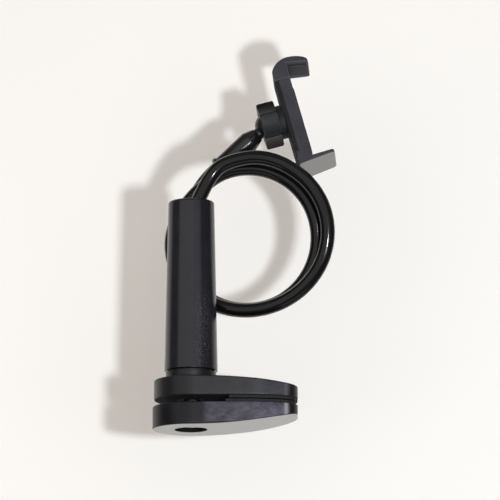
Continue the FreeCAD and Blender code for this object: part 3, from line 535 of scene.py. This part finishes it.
zincNodes = ("spindle_bolt", "spindle_washer", "arm_retaining_ring", "cover_screw_upper", "cover_screw_lower")
finishes = {
    jawPlastic: ("upper_jaw",),
    lowerJawPlastic: ("lower_jaw",),
    jawPadRubber: ("upper_jaw_pad", "lower_jaw_pad"),
    plugPlastic: ("thrust_washer", "arm_plug"),
    blackSteel: ("clamp_spindle", "handle_nut"),
    dullSteel: ("keyed_bushing",),
    zincSteel: zincNodes,
    handleBlack: ("handle_tube",),
    sheathBlack: ("gooseneck",),
    sleevePlastic: ("ball_sleeve", "sleeve_ring"),
    jointPlastic: ("ball_stud",),
    nutPlastic: ("lock_nut",),
    cradlePlastic: ("cradle_back",),
    shellPlastic: ("cradle_front",),
    sliderPlastic: ("cradle_slider",),
    lipPadRubber: ("upper_lip_pad", "lower_lip_pad"),
    restPadRubber: ("rest_pad",),
    brightWire: ("guide_pin_near", "guide_pin_far", "return_spring_near", "return_spring_far"),
}
for material, names in finishes.items():
    for name in names:
        node = frame["nodes"][name]
        node.data.materials.clear()
        node.data.materials.append(material)
print("finishes put on", sum(len(names) for names in finishes.values()), "nodes")


def newTree(name, sizes):  # a geometry tree with one named input for each size
    tree = bpy.data.node_groups.new(name, "GeometryNodeTree")
    tree.interface.new_socket("Geometry", in_out="OUTPUT", socket_type="NodeSocketGeometry")
    for key, value in sizes.items():
        kind = "NodeSocketInt" if isinstance(value, int) else "NodeSocketFloat"
        tree.interface.new_socket(key, in_out="INPUT", socket_type=kind)
    pen = Wire(tree)
    given = pen.node("NodeGroupInput").out.node.outputs
    return pen, {key: Wire(tree, given[key]) for key in sizes}


def grow(name, pen, shape, sizes, material, sharpFrom=35.0):  # runs the tree once and keeps a plain mesh
    whole = pen.node("GeometryNodeRealizeInstances", None, {0: shape})
    coated = pen.node("GeometryNodeSetMaterial", None, {"Geometry": whole, "Material": material})
    pen.node("NodeGroupOutput", None, {0: coated})
    piece = bpy.data.objects.new(name, bpy.data.meshes.new(name))
    scene.collection.objects.link(piece)
    modifier = piece.modifiers.new("grow", "NODES")
    modifier.node_group = pen.tree
    for item in pen.tree.interface.items_tree:
        if item.in_out == "INPUT":
            modifier[item.identifier] = sizes[item.name]
    graph = bpy.context.evaluated_depsgraph_get()
    mesh = bpy.data.meshes.new_from_object(piece.evaluated_get(graph))
    piece.modifiers.clear()
    piece.data = mesh
    mesh.shade_smooth()
    mesh.set_sharp_from_angle(angle=math.radians(sharpFrom))
    return piece


def flatGrid(pen, columns, rows):  # and its turn and its run, each from 0 to 1
    sides = {"Size X": 1.0, "Size Y": 1.0, "Vertices X": columns, "Vertices Y": rows}
    grid = pen.node("GeometryNodeMeshGrid", None, sides, "Mesh")
    across, along = pen.parts(pen.node("GeometryNodeInputPosition"))[:2]
    return grid, across + 0.5, along + 0.5


def rolled(pen, turn, radius):  # where a turn and a radius lie across the axis
    angle = turn * (2 * math.pi)
    return radius * pen.maths("COSINE", angle), radius * pen.maths("SINE", angle)


def settled(pen, grid, wide, deep, height, seam=1e-6):  # moves the grid there and closes its seam
    place = pen.node("ShaderNodeCombineXYZ", None, {0: wide, 1: deep, 2: height})
    moved = pen.node("GeometryNodeSetPosition", None, {"Geometry": grid, "Position": place})
    return pen.node("GeometryNodeMergeByDistance", None, {"Geometry": moved, "Distance": seam})


threadInset = 0.00002  # the thread's crests stay this far inside the plain spindle
threadFlank = (0.1, 0.85)
spindleLow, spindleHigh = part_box("clamp_spindle")
leads = {pair["joint"]: pair["ratio"] for pair in frame["record"]["behaviour"]["couplings"]}
threadSizes = {
    "Radius": spindleHigh[0] - threadInset,
    "Half flat": spindleHigh[1] - threadInset,
    "Foot": spindleLow[2],
    "Length": spindleHigh[2] - spindleLow[2],
    "Pitch": leads["jaw_slide"] * 2 * math.pi,
    "Depth": 0.0011,
    "Bevel": 0.0012,
    "Columns": 61,
    "Rows": 400,
}
pen, size = newTree("spindleThread", threadSizes)
grid, turn, run = flatGrid(pen, size["Columns"], size["Rows"])
rowRun = 1 / (threadSizes["Rows"] - 1)
sideRun = 1 - 2 * rowRun  # the first and the last row close the ends
reach = (run - rowRun).most(0.0).least(sideRun) / sideRun
height = reach * size["Length"] + size["Foot"]
ridge = pen.maths("PINGPONG", height / size["Pitch"] - turn, 0.5) * 2.0
groove = size["Depth"] * (1 - ridge.between(*threadFlank))
toEnd = (reach * size["Length"]).least((1 - reach) * size["Length"])
bevel = size["Bevel"] * (1 - toEnd.between(0.0, size["Bevel"]))
radius = (size["Radius"] - groove - bevel) * run.span((0.0, rowRun), (1 - rowRun, 1.0))
wide, deep = rolled(pen, turn, radius)
deep = deep.least(size["Half flat"]).most(size["Half flat"] * -1.0)
spindle = grow("spindleThread", pen, settled(pen, grid, wide, deep, height), threadSizes, blackSteel)
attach(spindle, "lower_clamp")
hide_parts("clamp_spindle")
print("spindle thread", len(spindle.data.polygons), "faces")

joints = {joint["name"]: joint for joint in frame["record"]["behaviour"]["joints"]}
outward = Vector(joints["cradle_spin"]["axis"])
upward = Vector(joints["cradle_open"]["axis"])
cradlePlace = Matrix((outward, upward.cross(outward), upward)).transposed().to_4x4()
cradlePlace.translation = Vector(joints["cradle_spin"]["pos_m"])

screwSizes = {
    "Head radius": 0.0019,
    "Head height": 0.0012,
    "Dome": 0.0002,
    "Slot width": 0.00034,
    "Slot length": 0.00115,
    "Slot depth": 0.0007,
    "Spacing": 0.034,
    "Seat": 0.0112,
    "Columns": 65,
    "Rows": 41,
}
headRuns = {  # shares of the grid's rows
    "top": 0.7,
    "side": 0.15,
    "foot": 0.15,
}
slotFlank = {
    "width": 1.5,
    "length": 0.85,
    "side": 0.05,
}
pen, size = newTree("coverScrews", screwSizes)
grid, turn, run = flatGrid(pen, size["Columns"], size["Rows"])
fromMiddle = (run / headRuns["top"]).least(1.0)
toMiddle = (1 - run) / headRuns["foot"]
wide, deep = rolled(pen, turn, size["Head radius"] * fromMiddle.least(toMiddle))
sink = (run - headRuns["top"]).most(0.0).least(headRuns["side"]) / headRuns["side"]
wideOff = pen.maths("ABSOLUTE", wide)
deepOff = pen.maths("ABSOLUTE", deep)
narrow = 1 - wideOff.least(deepOff).between(size["Slot width"], size["Slot width"] * slotFlank["width"])
short = 1 - wideOff.most(deepOff).between(size["Slot length"] * slotFlank["length"], size["Slot length"])
slot = narrow * short * (1 - sink.between(0.0, slotFlank["side"]))
domed = size["Dome"] * fromMiddle * fromMiddle * (1 - sink)
fall = sink * size["Head height"] + slot * size["Slot depth"] + domed
head = settled(pen, grid, wide, deep, fall)
step = pen.node("ShaderNodeCombineXYZ", None, {2: size["Spacing"]})
first = pen.node("ShaderNodeCombineXYZ", None, {0: size["Seat"], 2: size["Spacing"] * -0.5})
spots = pen.node("GeometryNodeMeshLine", None, {"Count": 2, "Start Location": first, "Offset": step})
quarter = pen.node("FunctionNodeEulerToRotation", None, {0: (0.0, math.pi / 2, 0.0)})
layout = {"Points": spots, "Instance": head, "Rotation": quarter}
heads = pen.node("GeometryNodeInstanceOnPoints", None, layout)
screws = grow("coverScrews", pen, heads, screwSizes, zincSteel)
screws.data.transform(cradlePlace)
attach(screws, "cradle")
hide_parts("cover_screw_upper", "cover_screw_lower")
print("cover screws", len(screws.data.polygons), "faces")

stage = {
    "behind": 0.125,  # backdrop's distance behind the handle's axis
    "centre": (-0.108, 0.12),
    "half": 0.343,
    "paper": (0.94, 0.922, 0.888),
    "glow": 0.1,  # the paper's own light, as the camera and polished faces see it
    "glowTint": (0.94, 0.74, 0.64),
    "worldPale": (0.945, 0.925, 0.885),
    "worldFront": 0.16,
    "worldBack": 0.9,
    "worldTurn": (0.25, 0.6),  # from the room's side to the pale background's side
}


def seenRays(pen):  # rays from the camera itself, and from polished or clear faces
    kinds = ("Is Camera Ray", "Is Glossy Ray", "Is Transmission Ray")
    direct, polished, clear = [pen.node("ShaderNodeLightPath", None, None, kind) for kind in kinds]
    return direct, polished.most(clear)


half = stage["half"]
midX, midZ = stage["centre"]
mesh = bpy.data.meshes.new("backdrop")
corners = [(-half, -half), (half, -half), (half, half), (-half, half)]
mesh.from_pydata([(midX + x, stage["behind"], midZ + z) for x, z in corners], [], [(0, 1, 2, 3)])
backdrop = bpy.data.objects.new("backdrop", mesh)
scene.collection.objects.link(backdrop)
paper, pen = newMaterial("backdropPaper")
direct, mirrored = seenRays(pen)
glowing = {"Color": (*stage["glowTint"], 1), "Strength": direct.most(mirrored) * stage["glow"]}
glow = pen.node("ShaderNodeEmission", None, glowing)
sheet = pen.node("ShaderNodeBsdfDiffuse", None, {"Color": (*stage["paper"], 1)})
lit = pen.node("ShaderNodeAddShader", None, {0: sheet, 1: glow})
clear = pen.node("ShaderNodeBsdfTransparent")
behind = pen.node("ShaderNodeNewGeometry", None, None, "Backfacing")
oneSided = pen.node("ShaderNodeMixShader", None, {0: behind, 1: lit, 2: clear})
pen.node("ShaderNodeOutputMaterial", None, {"Surface": oneSided})
mesh.materials.append(paper)

world = bpy.data.worlds.new("paleRoom")
scene.world = world
world.use_nodes = True
world.node_tree.nodes.clear()
pen = Wire(world.node_tree)
direct, mirrored = seenRays(pen)
depth = pen.parts(pen.coordinate("Generated"))[1]
away = depth.between(*stage["worldTurn"])
seen = direct.most(mirrored * away)
room = away * (stage["worldBack"] - stage["worldFront"]) + stage["worldFront"]
level = seen + (1 - seen) * room
light = pen.node("ShaderNodeBackground", None, {"Color": (*stage["worldPale"], 1), "Strength": level})
pen.node("ShaderNodeOutputWorld", None, {"Surface": light})


def softLamp(name, lamp):
    data = bpy.data.lights.new(name, "AREA")
    data.shape = "RECTANGLE"
    data.size, data.size_y = lamp["size"]
    data.energy = lamp["watts"]
    data.color = lamp["tint"]
    made = bpy.data.objects.new(name, data)
    scene.collection.objects.link(made)
    made.location = lamp["at"]
    way = Vector(lamp["aim"]) - Vector(lamp["at"])
    made.rotation_euler = way.to_track_quat("-Z", "Y").to_euler()


lamps = {
    "keyLamp": {
        "at": (0.36, -1.44, -0.24),
        "aim": (0.04, 0.0, 0.1),
        "size": (0.08, 0.08),
        "watts": 12.2,
        "tint": (0.89, 0.95, 1.0),
    },
    "leftSoft": {
        "at": (-0.55, -1.15, 0.25),
        "aim": (0.02, 0.0, 0.1),
        "size": (1.7, 1.6),
        "watts": 7.6,
        "tint": (1.0, 0.965, 0.94),
    },
    "frontSoft": {
        "at": (0.59, -1.16, 0.25),
        "aim": (0.02, 0.0, 0.1),
        "size": (0.9, 1.6),
        "watts": 3.4,
        "tint": (0.985, 0.985, 1.0),
    },
    "topSoft": {
        "at": (0.04, -0.5, 1.3),
        "aim": (0.04, 0.125, 0.1),
        "size": (1.6, 0.5),
        "watts": 0.7,
        "tint": (1.0, 0.97, 0.93),
    },
    "lowSoft": {
        "at": (0.04, -0.5, -1.1),
        "aim": (0.04, 0.125, 0.1),
        "size": (1.6, 0.5),
        "watts": 2.1,
        "tint": (1.0, 0.97, 0.93),
    },
}
for name, lamp in lamps.items():
    softLamp(name, lamp)
print("stage and lamps set")
